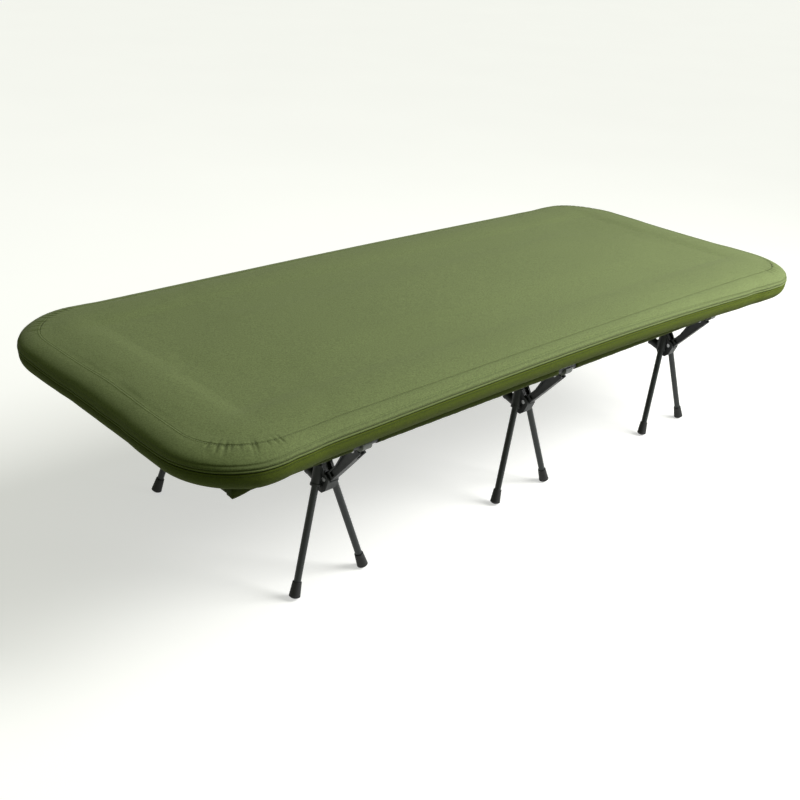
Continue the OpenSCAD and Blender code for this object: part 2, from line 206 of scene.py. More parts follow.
# ---------------------------------------------------------------- materials
class Nodes:
    """Short calls for building one material's nodes."""

    def __init__(self, name, color, roughness, metallic=0.0):
        self.material = bpy.data.materials.new(name)
        self.material.use_nodes = True
        self.tree = self.material.node_tree
        self.shader = self.tree.nodes["Principled BSDF"]
        self.shader.inputs["Base Color"].default_value = shade(color)
        self.shader.inputs["Roughness"].default_value = roughness
        self.shader.inputs["Metallic"].default_value = metallic
        self.place = self.tree.nodes.new("ShaderNodeTexCoord").outputs["Object"]

    def put(self, socket, value):
        if isinstance(value, bpy.types.NodeSocket):
            self.tree.links.new(value, socket)
        else:
            socket.default_value = value

    def math(self, operation, a, b=0.0, c=None):
        node = self.tree.nodes.new("ShaderNodeMath")
        node.operation = operation
        self.put(node.inputs[0], a)
        self.put(node.inputs[1], b)
        if c is not None:
            self.put(node.inputs[2], c)
        return node.outputs[0]

    def noise(self, scale, detail=2.0, roughness=0.5, stretch=None):
        node = self.tree.nodes.new("ShaderNodeTexNoise")
        node.inputs["Scale"].default_value = scale
        node.inputs["Detail"].default_value = detail
        node.inputs["Roughness"].default_value = roughness
        place = self.place
        if stretch:
            mapping = self.tree.nodes.new("ShaderNodeMapping")
            mapping.inputs["Scale"].default_value = stretch
            self.tree.links.new(place, mapping.inputs["Vector"])
            place = mapping.outputs["Vector"]
        self.tree.links.new(place, node.inputs["Vector"])
        return node.outputs["Fac"]

    def mix(self, factor, a, b, blend="MIX"):
        node = self.tree.nodes.new("ShaderNodeMix")
        node.data_type = "RGBA"
        node.blend_type = blend
        self.put(node.inputs["Factor"], factor)
        self.put(node.inputs["A"], a)
        self.put(node.inputs["B"], b)
        return node.outputs["Result"]

    def spread(self, value, low, high, to_low=0.0, to_high=1.0):
        node = self.tree.nodes.new("ShaderNodeMapRange")
        self.put(node.inputs["Value"], value)
        for key, number in zip(("From Min", "From Max", "To Min", "To Max"), (low, high, to_low, to_high)):
            node.inputs[key].default_value = number
        return node.outputs["Result"]

    def attribute(self, name):
        node = self.tree.nodes.new("ShaderNodeAttribute")
        node.attribute_name = name
        return node.outputs["Fac"]

    def bump(self, height, strength, distance, normal=None):
        node = self.tree.nodes.new("ShaderNodeBump")
        node.inputs["Strength"].default_value = strength
        node.inputs["Distance"].default_value = distance
        self.put(node.inputs["Height"], height)
        if normal is not None:
            self.put(node.inputs["Normal"], normal)
        return node.outputs["Normal"]

    def weave(self, pitch):
        """Height of a plain weave that runs along the frame's axes on every face."""
        wander = self.tree.nodes.new("ShaderNodeTexNoise")
        wander.inputs["Scale"].default_value = 60
        self.tree.links.new(self.place, wander.inputs["Vector"])
        shift = self.tree.nodes.new("ShaderNodeVectorMath")
        shift.operation = "MULTIPLY_ADD"
        shift.inputs[1].default_value = (14 * MM, 14 * MM, 14 * MM)
        self.tree.links.new(wander.outputs["Color"], shift.inputs[0])
        self.tree.links.new(self.place, shift.inputs[2])
        split = self.tree.nodes.new("ShaderNodeSeparateXYZ")
        self.tree.links.new(shift.outputs[0], split.inputs[0])
        wave = [self.math("SINE", self.math("MULTIPLY", axis, 2 * math.pi / pitch)) for axis in split.outputs]
        crossed = [self.math("MULTIPLY", wave[i], wave[(i + 1) % 3]) for i in range(3)]
        return self.math("ADD", self.math("ADD", crossed[0], crossed[1]), crossed[2])


def shade(color, share=1.0):
    """The colour times a share, as a socket takes it."""
    return (*(c * share for c in color), 1)


def fabric(name, color, pitch=1.3 * MM, heather=0.2, roughness=0.88, sheen=0.25):
    n = Nodes(name, color, roughness)
    speckle = n.spread(n.noise(330, 4, 0.75), 0.36, 0.64)
    fleck = n.spread(n.noise(520, 1, 0.5), 0.66, 0.76)
    cloud = n.spread(n.noise(3.1, 3, 0.55), 0.3, 0.7)
    weave = n.weave(pitch)
    tone = n.mix(speckle, shade(color, 1 - heather), shade(color, 1 + heather))
    tone = n.mix(n.math("MULTIPLY", fleck, 0.35), tone, shade(color, 1.9))
    tone = n.mix(n.math("MULTIPLY", cloud, 0.16), tone, shade(color, 0.72))
    tone = n.mix(n.spread(weave, -1, 1, 0.0, 0.12), tone, shade(color, 0.7))
    # painted shade: the cloth darkens towards a fifth of its colour by a per-point shade weight, in seam
    # grooves, creases, corner tucks and by the zip slot
    tone = n.mix(n.math("MULTIPLY", n.attribute("painted_shade"), 0.8), tone, shade(color, 0.2))
    n.put(n.shader.inputs["Base Color"], tone)
    n.put(n.shader.inputs["Roughness"], n.spread(speckle, 0, 1, roughness - 0.07, min(1, roughness + 0.05)))
    n.shader.inputs["Sheen Weight"].default_value = sheen
    n.shader.inputs["Sheen Roughness"].default_value = 0.45
    n.shader.inputs["Sheen Tint"].default_value = (1.0, 1.0, 0.82, 1)
    n.shader.inputs["Specular IOR Level"].default_value = 0.12
    rough_cloth = n.bump(n.noise(95, 3, 0.6), 0.25, 1.2 * MM)
    n.put(n.shader.inputs["Normal"], n.bump(weave, 0.25, 0.25 * MM, rough_cloth))
    return n.material


def tube_finish(name, color, roughness=0.36, metallic=0.55):
    n = Nodes(name, color, roughness, metallic)
    drawn = n.noise(240, 3, 0.6, stretch=(1, 1, 0.08))
    smudge = n.spread(n.noise(14, 4, 0.6), 0.35, 0.7)
    tone = n.mix(n.math("MULTIPLY", smudge, 0.5), shade(color), shade(color, 1.8))
    n.put(n.shader.inputs["Base Color"], tone)
    wear = n.math("ADD", drawn, smudge)
    n.put(n.shader.inputs["Roughness"], n.spread(wear, 0.4, 1.6, roughness - 0.08, roughness + 0.14))
    n.put(n.shader.inputs["Normal"], n.bump(drawn, 0.08, 0.1 * MM))
    n.shader.inputs["Coat Weight"].default_value = 0.15
    n.shader.inputs["Coat Roughness"].default_value = 0.3
    return n.material


def moulded(name, color, roughness=0.5, edge=0.9 * MM):
    n = Nodes(name, color, roughness)
    round_edge = n.tree.nodes.new("ShaderNodeBevel")
    round_edge.samples = 6
    round_edge.inputs["Radius"].default_value = edge
    grain = n.noise(1300, 2, 0.6)
    scuff = n.spread(n.noise(38, 5, 0.7), 0.45, 0.75)
    tone = n.mix(n.math("MULTIPLY", scuff, 0.45), shade(color), shade(color, 1.9))
    n.put(n.shader.inputs["Base Color"], tone)
    n.put(n.shader.inputs["Roughness"], n.spread(scuff, 0, 1, roughness, roughness + 0.16))
    n.put(n.shader.inputs["Normal"], n.bump(grain, 0.22, 0.12 * MM, round_edge.outputs["Normal"]))
    return n.material


def steel(name, color, roughness=0.3):
    n = Nodes(name, color, roughness, 1.0)
    brushed = n.noise(900, 2, 0.5, stretch=(0.1, 1, 1))
    n.put(n.shader.inputs["Roughness"], n.spread(brushed, 0.2, 0.8, roughness - 0.08, roughness + 0.15))
    n.put(n.shader.inputs["Normal"], n.bump(brushed, 0.1, 0.05 * MM))
    return n.material


def foam_finish(name, color):
    n = Nodes(name, color, 0.95)
    cells = n.tree.nodes.new("ShaderNodeTexVoronoi")
    cells.inputs["Scale"].default_value = 700
    n.tree.links.new(n.place, cells.inputs["Vector"])
    n.put(n.shader.inputs["Base Color"], n.mix(cells.outputs["Distance"], shade(color, 0.8), shade(color)))
    n.put(n.shader.inputs["Normal"], n.bump(cells.outputs["Distance"], 0.5, 0.6 * MM))
    return n.material


OLIVE = (0.154, 0.192, 0.076)
MATERIALS = {
    "pad_cover": fabric("pad cover weave", OLIVE, heather=0.26, sheen=0.1),
    # pad base colour: darker and lower in blue than the cover, partly the base fabric's own colour and partly
    # painted shade of the downward-facing band
    "pad_base": fabric("pad base weave", (0.092, 0.122, 0.013), heather=0.24, sheen=0.03),
    # piping colour: a little lighter than the cover, partly its own colour and partly a painted highlight
    # along the piping's ridge
    "piping": fabric("piping", (0.165, 0.208, 0.074), pitch=0.9 * MM, heather=0.12, sheen=0.1),
    "thread": fabric("thread", (0.085, 0.115, 0.034), pitch=0.8 * MM, heather=0.1, sheen=0.1),
    "zip_tape": fabric("zip tape", (0.035, 0.055, 0.012), pitch=0.8 * MM, heather=0.15),
    "zip_metal": steel("zip metal", (0.34, 0.35, 0.33)),
    "zip_teeth": moulded("zip teeth", (0.05, 0.07, 0.02), 0.4, 0.2 * MM),
    "foam": foam_finish("foam", (0.75, 0.72, 0.60)),
    "cot_sheet": fabric("cot sheet weave", (0.045, 0.062, 0.006), pitch=1.1 * MM, heather=0.16,
                        roughness=0.8, sheen=0.05),
    "cot_trim": fabric("cot trim weave", (0.048, 0.066, 0.007), pitch=1.6 * MM, heather=0.2, sheen=0.05),
    "tube_black": tube_finish("black anodised tube", (0.012, 0.015, 0.016), 0.42, 0.35),
    "bare_aluminium": tube_finish("bare aluminium", (0.62, 0.63, 0.65), 0.3, 1.0),
    "nylon_black": moulded("black nylon", (0.007, 0.010, 0.011)),
    "nylon_grey": moulded("grey nylon", (0.17, 0.18, 0.19), 0.45),
    "rubber_black": moulded("foot rubber", (0.008, 0.008, 0.009), 0.62, 1.4 * MM),
    "shock_cord": fabric("shock cord", (0.6, 0.6, 0.58), pitch=0.9 * MM, heather=0.1),
    "steel_pin": steel("steel pin", (0.55, 0.56, 0.57)),
}


def dress(obj, material, body, replaces=()):
    """Gives a piece its material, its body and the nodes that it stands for."""
    obj.data.materials.clear()
    obj.data.materials.append(MATERIALS[material])
    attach(obj, body)
    if replaces:
        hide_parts(*replaces)
    return obj


for part in frame["record"]["subparts"]:
    node = frame["nodes"][part["node"]]
    node.data.materials.clear()
    node.data.materials.append(MATERIALS[part["material_slot"]])

# ---------------------------------------------------------------- the pad's plan
def plan_stations(side_step, corner_steps):
    """Points round the pad's plan, and the number of steps along its long and short sides.

    Each point has its core point, its way outwards, and how far round its corner it is (-1 on a side).
    """
    corners = [(CORE_X, CORE_Y), (-CORE_X, CORE_Y), (-CORE_X, -CORE_Y), (CORE_X, -CORE_Y)]
    starts = [corners[-1], *corners[:-1]]
    long_count, short_count = round(2 * CORE_X / side_step), round(2 * CORE_Y / side_step)
    core, out, turn = [], [], []
    for q in range(4):
        count = short_count if q % 2 == 0 else long_count
        angle = q * math.pi / 2
        for i in range(count):
            core.append(np.array(starts[q]) + (np.array(corners[q]) - np.array(starts[q])) * i / count)
            out.append((math.cos(angle), math.sin(angle)))
            turn.append(-1.0)
        for i in range(corner_steps):
            a = angle + math.pi / 2 * i / corner_steps
            core.append(np.array(corners[q]))
            out.append((math.cos(a), math.sin(a)))
            turn.append(i / corner_steps)
    return np.array(core), np.array(out), np.array(turn), (long_count, short_count)


class Profile:
    """The pad's section at every station of its plan.

    Its zip bows up and in along the sides, most of all a little footwards of the middle, and sinks at the
    ends. The bow is 0.85 at that peak, -0.62 where a corner meets an end, and -1.17 in an end's middle.
    """

    def __init__(self, plan):
        core, out, turn, _ = plan
        from_peak = core[:, 0] + 50 * MM
        side = 0.85 - np.where(from_peak < 0, 0.8, 1.8) * from_peak ** 2
        end = -0.62 - 0.55 * (1 - (core[:, 1] / CORE_Y) ** 2)
        share = np.arcsin(np.clip(np.abs(out[:, 1]), 0, 1)) / (math.pi / 2)
        corner = -0.62 + (side + 0.62) * share ** 1.8
        bow = np.where(turn >= 0, corner, np.where(np.abs(out[:, 1]) > 0.5, side, end))
        for _ in range(40):
            bow = (np.roll(bow, 1) + 2 * bow + np.roll(bow, -1)) / 4
        up, down = np.maximum(bow, 0), np.minimum(bow, 0)
        self.plan = plan
        self.lift = SIDE_LIFT * up + END_DROP * down
        self.widest = CORNER - SIDE_INSET * up
        self.shoulder_drop = SHOULDER_DROP - self.lift
        self.shoulder_in = self.widest - (CORNER - SHOULDER_IN)
        self.base_in = LOW_ROUND + 37 * MM * up
        self.base_rise = LOW_ROUND + 16 * MM * up + 9 * MM * down
        self.piping = PAD_LOW + WAIST + self.lift
        self.lip = self.piping - PIPING_R - ZIP_SLOT
        self.seam = 0.2 + 0.8 * np.clip(share / 0.45, 0, 1) ** 2

    def shoulder(self, angle):
        """The point of the shoulder at an angle, from 0 at its widest to a quarter turn on the flat top."""
        return (self.widest - self.shoulder_in * (1 - np.cos(angle)),
                PAD_HIGH - self.shoulder_drop * (1 - np.sin(angle)))

    def shoulder_at(self, height):
        """The point of the shoulder at a height above the piping."""
        rise = np.clip((self.piping + height - PAD_HIGH + self.shoulder_drop) / self.shoulder_drop, 0, 1)
        return self.widest - self.shoulder_in * (1 - np.sqrt(1 - rise ** 2)), self.piping + height

    def base(self, angle):
        """The point of the low edge at an angle, from a quarter turn at its widest to 0 on the underside."""
        return (self.widest - self.base_in * (1 - math.sin(angle)),
                PAD_LOW + self.base_rise * (1 - math.cos(angle)))

    def points(self, rows):
        """Points of the surface through the rows; a row is (reach outwards from the core, height)."""
        core, out = self.plan[0], self.plan[1]
        rings = []
        for reach, z in rows:
            flat = core + np.broadcast_to(reach, len(core))[:, None] * out
            rings.append(np.column_stack([flat, np.broadcast_to(z, len(core))]))
        return np.array(rings)


def top_bow(points):
    """The pad's top rises a little towards its middle and sinks towards its ends; the base stays flat."""
    share = np.clip((points[..., 2] - PAD_HIGH + 26 * MM) / (26 * MM), 0, 1)
    share = share * share * (3 - 2 * share)
    near_end = np.clip((np.abs(points[..., 0]) - PAD_HALF_X + 140 * MM) / (100 * MM), 0, 1)
    return share * (3.2 * MM - 6.0 * MM * (points[..., 0] / PAD_HALF_X) ** 2 - 3.6 * MM * near_end ** 2)


def core_grid(z, plan):
    """The level middle of the pad, between its corners' centres."""
    long_count, short_count = plan[3]
    xs = np.linspace(-CORE_X, CORE_X, long_count + 1)
    ys = np.linspace(-CORE_Y, CORE_Y, short_count + 1)
    points = np.array([[(x, y, z) for y in ys] for x in xs])
    return points.reshape(-1, 3), grid_faces(len(xs), len(ys))


def pad_shell(profile, rows):
    """Points and faces of a whole pad through the rows, from its flat top round to its underside."""
    vertices = list(profile.points(rows).reshape(-1, 3))
    faces = grid_faces(len(rows), len(profile.plan[0]), wrap_columns=True)
    for z in (rows[0][1], rows[-1][1]):
        points, quads = core_grid(z, profile.plan)
        faces += [tuple(i + len(vertices) for i in f) for f in quads]
        vertices += list(points)
    return np.array(vertices), faces


# ---------------------------------------------------------------- the cloth's own shape
def cloth_field():
    """Simulates the cover drawn over its foam and returns where its points were and how far they moved."""
    profile = Profile(plan_stations(13 * MM, 14))
    rows = [(r * MM, PAD_HIGH - 2 * MM) for r in (0, 24, 48, 72, 94)]
    angles = np.linspace(math.pi / 2, 0, 6)
    rows += [(r, z - 2 * MM) for r, z in map(profile.shoulder, angles)]
    rows += [profile.base(a) for a in angles]
    rows += [(r * MM, PAD_LOW) for r in (72, 48, 24, 0)]
    cover = make_object("cloth_trial", *pad_shell(profile, rows))
    clean_mesh(cover)
    before = np.array([v.co for v in cover.data.vertices])
    cloth = cover.modifiers.new("cloth", "CLOTH")
    cloth.settings.quality = 4
    cloth.settings.mass = 0.25
    cloth.settings.tension_stiffness = 22
    cloth.settings.compression_stiffness = 14
    cloth.settings.shear_stiffness = 8
    cloth.settings.bending_stiffness = 0.6
    cloth.settings.use_pressure = True
    cloth.settings.uniform_pressure_force = 3
    cloth.settings.shrink_min = -0.008
    cloth.settings.effector_weights.gravity = 0
    cloth.collision_settings.use_collision = False
    cloth.point_cache.frame_start, cloth.point_cache.frame_end = 1, 20
    scene = bpy.context.scene
    for step in range(1, 21):
        scene.frame_set(step)
    graph = bpy.context.evaluated_depsgraph_get()
    after = np.array([v.co for v in cover.evaluated_get(graph).data.vertices])
    scene.frame_set(1)
    bpy.data.objects.remove(cover)
    return before, after - before


def keep_outline(rest, move):
    """Takes off the average swelling and caps what is left, so that the pad keeps its outline."""
    away = rest[:, :2] - np.clip(rest[:, :2], (-CORE_X, -CORE_Y), (CORE_X, CORE_Y))
    reach = np.linalg.norm(away, axis=1)
    outwards = away / np.maximum(reach, 1e-9)[:, None]
    rim = reach > CORNER - 12 * MM
    drawn_in = (move[rim, :2] * outwards[rim]).sum(axis=1).mean()
    move[:, :2] -= outwards * (drawn_in * np.clip(reach / CORNER, 0, 1))[:, None]
    level = np.clip((rest[:, 2] - PAD_LOW) / (PAD_HIGH - PAD_LOW), 0, 1)
    move[:, 2] *= 1 - 0.8 * np.clip(1 - reach / (60 * MM), 0, 1)
    middle = reach < 60 * MM
    top, under = middle & (level > 0.9), middle & (level < 0.1)
    move[:, 2] -= level * move[top, 2].mean() + (1 - level) * move[under, 2].mean()
    length = np.linalg.norm(move, axis=1)
    move *= (CLOTH_CAP * np.tanh(length / CLOTH_CAP) / np.maximum(length, 1e-9))[:, None]
    return move


def cloth_lookup():
    rest, move = cloth_field()
    tree = kdtree.KDTree(len(rest))
    for index, point in enumerate(rest):
        tree.insert(point, index)
    tree.balance()
    return tree, keep_outline(rest, move)


CLOTH_TREE, CLOTH_MOVE = cloth_lookup()


def cloth_moves(points):
    """How far the simulated cloth moved at each of these points; the underside never sinks."""
    moved = np.zeros_like(points)
    if CLOTH_TREE is None:
        return moved
    for i, p in enumerate(points):
        near = CLOTH_TREE.find_n(p, 7)
        weight = np.array([math.exp(-((d / (11 * MM)) ** 2)) + 1e-6 for _, _, d in near])
        moved[i] = (CLOTH_MOVE[[k for _, k, _ in near]] * weight[:, None]).sum(axis=0) / weight.sum()
    under = points[:, 2] < PAD_LOW + 6 * MM
    moved[under, 2] = np.maximum(moved[under, 2], 0)
    return moved


# ---------------------------------------------------------------- the pad's cover
def crown(points):
    """Lifts the top gently inside its seam."""
    u = np.clip(np.abs(points[..., 0]) / (PAD_HALF_X - SEAM_IN), 0, 1)
    v = np.clip(np.abs(points[..., 1]) / (PAD_HALF_Y - SEAM_IN), 0, 1)
    return 2.6 * MM * (1 - u ** 8) * (1 - v ** 5)


def gathers(plan):
    """Depth of the small tucks sewn in at each corner's top seam, and how far each runs from it."""
    core, out, turn, _ = plan
    quarter = (core[:, 0] > 0).astype(int) + 2 * (core[:, 1] > 0).astype(int)
    round_corner = np.arcsin(np.clip(np.abs(out[:, 1]), 0, 1)) / (math.pi / 2)
    depth, reach = np.zeros(len(turn)), np.full(len(turn), 10 * MM)
    for q in range(4):
        here = (turn >= 0) & (quarter == q)
        for centre in np.linspace(0.34, 0.97, 10) + rng.uniform(-0.022, 0.022, 10):
            width = rng.uniform(0.009, 0.016)
            strength = rng.uniform(0.4, 1.0)
            length = rng.uniform(14, 26) * MM
            bell = np.exp(-(((round_corner - centre) / width) ** 2)) * here
            depth += strength * bell
            reach = np.where(bell > 0.25, length, reach)
    return depth, reach


PLAN = plan_stations(8.5 * MM, 110)
PAD = Profile(PLAN)
TUCK, TUCK_REACH = gathers(PLAN)


def tuck(points, rows, tilts):
    """Presses the corner tucks into rows of points, fading with the distance from the top seam."""
    out = np.column_stack([PLAN[1], np.zeros(len(PLAN[1]))])
    for i, (reach, z) in enumerate(rows):
        away = np.hypot(reach - SEAM_REACH, z - PAD_HIGH) + np.zeros(len(TUCK))
        below = z < PAD_HIGH - 0.2 * MM
        fade = np.exp(-((away / np.where(below, TUCK_REACH, 0.45 * TUCK_REACH)) ** 2))
        fade = fade * (1 - np.exp(-((away / (1.0 * MM)) ** 2))) * np.where(below, 1.0, 0.45)
        amount = -TUCK_DEPTH * TUCK * fade
        way = out * math.cos(tilts[i]) + np.array((0, 0, math.sin(tilts[i])))
        points[i] += way * amount[:, None]
    return points


def cover_panel(name, rows, tilts, painted_shades, core_row=None, crowned=False):
    """One panel of the cover, swept round the pad; core_row is the row that goes on as the flat middle."""
    points = PAD.points(rows)
    # painted shade weight per point: each row's given darkness, plus more at the corner tucks by the top seam
    painted_shade = []
    for depth, (reach, _) in zip(painted_shades, rows):
        near_seam = np.exp(-np.abs(np.broadcast_to(reach, len(TUCK)) - SEAM_REACH) / (9 * MM))
        painted_shade.append(np.clip(depth + 0.75 * TUCK * near_seam, 0, 1))
    painted_shade = np.concatenate(painted_shade)
    points = tuck(points, rows, tilts)
    vertices = points.reshape(-1, 3)
    faces = grid_faces(len(rows), len(PLAN[0]), wrap_columns=True)
    if core_row is not None:
        grid, quads = core_grid(rows[core_row][1], PLAN)
        faces += [tuple(i + len(vertices) for i in f) for f in quads]
        vertices = np.concatenate([vertices, grid])
        painted_shade = np.concatenate([painted_shade, np.zeros(len(grid))])
    vertices = vertices + cloth_moves(vertices)
    vertices[:, 2] += top_bow(vertices)
    if crowned:
        vertices[:, 2] += crown(vertices)
    obj = make_object(name, vertices, faces)
    # stores the painted shade weights that the cloth material darkens by
    obj.data.attributes.new("painted_shade", "FLOAT", "POINT").data.foreach_set("value", painted_shade.astype(np.float32))
    clean_mesh(obj, 1e-5)
    thicken(obj, CLOTH)
    return obj


def make_top_panel():
    rows = [(r * MM, PAD_HIGH) for r in (0, 16, 32, 48, 64, 78, 88, 96, 102)]
    rim = [(-10, 0.05), (-7, 0.12), (-4.6, 0.2), (-3.0, 0.2),
           (-1.9, 0.05), (-1.2, -0.25), (-0.7, -0.8), (-0.5, -1.5)]
    rows += [(SEAM_REACH + r * MM, PAD_HIGH + h * MM * PAD.seam) for r, h in rim]
    count = len(rows)
    # painted shade in the last rows, down in the seam groove, weaker where the seam fades
    painted_shades = [max(0.0, 1 - (count - 1 - i) * 0.5) * PAD.seam ** 2 for i in range(count)]
    obj = cover_panel("cover_top_panel", rows, [math.pi / 2] * count, painted_shades, core_row=0, crowned=True)
    dress(obj, "pad_cover", "pad", ["pad_top_panel"])


def band_rows(height, steps):
    """Rows of the side band near a height above the piping; a step is (up, outwards) in millimetres."""
    rows = []
    for up, outwards in steps:
        reach, z = PAD.shoulder_at(height + up * MM)
        rows.append((reach + outwards * MM, z))
    return rows


def make_side_band():
    seam = [(-0.4, 1.9), (-0.1, 0.95), (0.5, 0.35), (1.3, 0.05)]
    start = [(SEAM_REACH + r * MM, PAD_HIGH - h * MM * PAD.seam) for r, h in seam]
    reach = PAD.shoulder_at(CREASE_UP + 3.2 * MM)[0]
    seam_angle = math.radians(86)
    low_angle = np.arccos(np.clip(1 - (PAD.widest - reach) / PAD.shoulder_in, -1, 1))
    shares = np.linspace(0.06, 1, 16)
    curve = [PAD.shoulder(seam_angle + (low_angle - seam_angle) * share) for share in shares]
    crease = band_rows(CREASE_UP, [(1.9, -0.2), (0.9, -0.6), (0.2, -0.9), (-0.6, -0.9),
                                   (-1.5, -0.45), (-2.8, 0.15), (-4.4, 0.4)])
    foot = band_rows(0, [(5.6, 0.35), (4.2, 0.1), (3.4, -0.5), (2.9, -0.95),
                         (2.2, -1.0), (1.2, -1.1), (-0.5, -2.2), (-0.8, -4.2)])
    rows = start + curve + crease + foot
    count, first = len(rows), len(start) + len(curve)
    painted_shades = [0.0] * count
    # painted shade under the top seam, in the soft crease and where the band turns in above the zip
    painted_shades[:3] = (PAD.seam ** 2, 0.75 * PAD.seam ** 2, 0.3 * PAD.seam ** 2)
    painted_shades[first + 1:first + 5] = (0.1, 0.3, 0.3, 0.1)
    painted_shades[-7:] = (0.1, 0.35, 0.5, 0.6, 0.8, 1.0, 1.0)
    tilts = [math.pi / 2 * max(0.15, 1 - i / 16) for i in range(count)]
    obj = cover_panel("cover_side_band", rows, tilts, painted_shades)
    dress(obj, "pad_cover", "pad", ["pad_side_band"])


def make_bottom_panel():
    lip = [(PAD.widest - inside * MM, PAD.lip - down * MM) for inside, down in
           ((4.0, 0.9), (1.9, 0.1), (0.8, 0.4), (0.2, 1.5), (0.0, 3.2), (0.35, 4.4), (0.35, 5.0), (0.0, 6.0))]
    curve = [PAD.base(a) for a in np.linspace(math.radians(82), 0, 18)]
    inner = [(share * (PAD.widest - PAD.base_in), PAD_LOW) for share in (0.85, 0.6, 0.35, 0.15, 0)]
    rows = lip + curve + inner
    # painted shade on the lip at the zip slot and in the small groove below it
    painted_shades = [1.0, 0.5, 0.1, 0, 0.1, 0.35, 0.35, 0.1] + [0.0] * (len(rows) - 8)
    obj = cover_panel("cover_bottom_panel", rows, [0.0] * len(rows), painted_shades, core_row=-1)
    dress(obj, "pad_base", "pad", ["pad_bottom_panel"])


def level_path(reach, z):
    """A closed path round the pad, following the cloth, with the outward direction at each point."""
    points = PAD.points([(reach, z)])[0]
    points = points + cloth_moves(points)
    points[:, 2] += top_bow(points)
    return [(p, o) for p, o in zip(points, PLAN[1])]


def make_piping():
    reach, z = PAD.shoulder_at(0)
    obj = sweep("cover_piping", level_path(reach - 0.5 * MM, z), circle_section(PIPING_R, 10))
    dress(obj, "piping", "pad")


def spaced(path, pitch):
    """Points a pitch apart along a path of (point, way outwards), each with its ways along and outwards."""
    carry = 0.0
    for (p, o), (q, _) in zip(path, path[1:]):
        length = np.linalg.norm(q - p)
        along = (q - p) / length
        while carry < length:
            yield p + along * carry, along, np.array((o[0], o[1], 0.0))
            carry += pitch
        carry -= length


def make_zip():
    middle = PAD.piping - PIPING_R - ZIP_SLOT / 2
    section = [(-0.5 * MM, -8 * MM), (0.3 * MM, -8 * MM), (0.3 * MM, 9 * MM), (-0.5 * MM, 9 * MM)]
    tape = sweep("zip_tape", level_path(PAD.widest - 4.9 * MM, middle), section)
    dress(tape, "zip_tape", "pad", ["pad_zip_tape"])
    path = level_path(PAD.widest - 3.9 * MM, middle)
    around = ((-1, -1), (1, -1), (1, 1), (-1, 1))
    corners = [(a, w, u * (0.8 if w > 0 else 1)) for u in (-1, 1) for a, w in around]
    sides = ((0, 1, 2, 3), (7, 6, 5, 4), (0, 4, 5, 1), (1, 5, 6, 2), (2, 6, 7, 3), (3, 7, 4, 0))
    vertices, faces = [], []
    for c, along, side in spaced(path + path[:1], TEETH_PITCH):
        k = len(vertices)
        for a, w, u in corners:
            vertices.append(c + along * a * 0.75 * MM + side * w * 0.7 * MM + (0, 0, u * 2.1 * MM))
        faces += [tuple(k + i for i in f) for f in sides]
    teeth = make_object("zip_teeth", vertices, faces, smooth=False)
    outward_faces(teeth)
    dress(teeth, "zip_teeth", "pad")


def make_stitches(name, path):
    """Short raised threads along a path of (point, outward direction)."""
    stations = ((-0.5, 0.25, -0.6), (-0.3, 0.9, 0.1), (0.0, 1.0, 0.35), (0.3, 0.9, 0.1), (0.5, 0.25, -0.6))
    ring = 6
    thread = grid_faces(len(stations), ring, wrap_columns=True)
    thread.append(tuple(range(ring - 1, -1, -1)))
    thread.append(tuple((len(stations) - 1) * ring + j for j in range(ring)))
    vertices, faces = [], []
    for c, along, side in spaced(path, STITCH_PITCH):
        side = side - along * (side @ along)
        side /= np.linalg.norm(side)
        up = np.cross(along, side)
        k = len(vertices)
        for t, w, lift in stations:
            middle = c + along * t * STITCH_LENGTH + side * lift * THREAD_R
            for a in np.arange(ring) * 2 * math.pi / ring:
                vertices.append(middle + (side * math.sin(a) * 0.8 + up * math.cos(a)) * THREAD_R * w)
        faces += [tuple(k + i for i in f) for f in thread]
    dress(make_object(name, vertices, faces), "thread", "pad")


def make_pad_stitching():
    crease_r, crease_z = PAD.shoulder_at(CREASE_UP + 2.6 * MM)
    hem_r, hem_z = PAD.shoulder_at(6.0 * MM)
    lines = [("stitches_top_seam", SEAM_REACH + 3.0 * MM, PAD_HIGH, "pad_cover"),
             ("stitches_crease", crease_r + 0.1 * MM, crease_z, "pad_cover"),
             ("stitches_piping", hem_r + 0.4 * MM, hem_z, "pad_cover"),
             ("stitches_base_hem", PAD.widest, PAD.lip - 4.7 * MM, "pad_base")]
    for name, reach, z, slot in lines:
        path = level_path(reach, z)
        make_stitches(name, path + path[:1])


def make_foam():
    profile = Profile(plan_stations(20 * MM, 20))
    inset = 5.6 * MM
    rows = [(r * MM, PAD_HIGH - 3 * MM) for r in (0, 30, 60, 90)]
    angles = np.linspace(math.pi / 2, 0, 9)
    rows += [(r - inset, z - 3 * MM) for r, z in map(profile.shoulder, angles)]
    rows += [(r - inset, z + 1.5 * MM) for r, z in map(profile.base, angles)]
    rows += [(r * MM, PAD_LOW + 1.5 * MM) for r in (60, 30, 0)]
    vertices, faces = pad_shell(profile, rows)
    vertices += cloth_moves(vertices)
    vertices[:, 2] += top_bow(vertices)
    obj = make_object("foam_core", vertices, faces)
    clean_mesh(obj)
    dress(obj, "foam", "pad", ["pad_foam_core"])


def block(name, corners_low, corners_high, centre, bevel):
    """A bevelled solid between two outlines, each a list of (x, y, z) offsets from a centre."""
    bm = bmesh.new()
    rings = [[bm.verts.new(np.array(centre) + c) for c in ring] for ring in (corners_low, corners_high)]
    bm.faces.new(rings[0])
    bm.faces.new(rings[1])
    count = len(rings[0])
    for i in range(count):
        j = (i + 1) % count
        bm.faces.new((rings[0][i], rings[0][j], rings[1][j], rings[1][i]))
    bmesh.ops.recalc_face_normals(bm, faces=bm.faces)
    obj = object_from(bm, name)
    round_edges(obj, bevel)
    return obj


def join(name, objects):
    """Makes one piece of several."""
    bm = bmesh.new()
    for obj in objects:
        bm.from_mesh(obj.data)
        bpy.data.objects.remove(obj)
    obj = object_from(bm, name)
    shade_smooth(obj)
    return obj


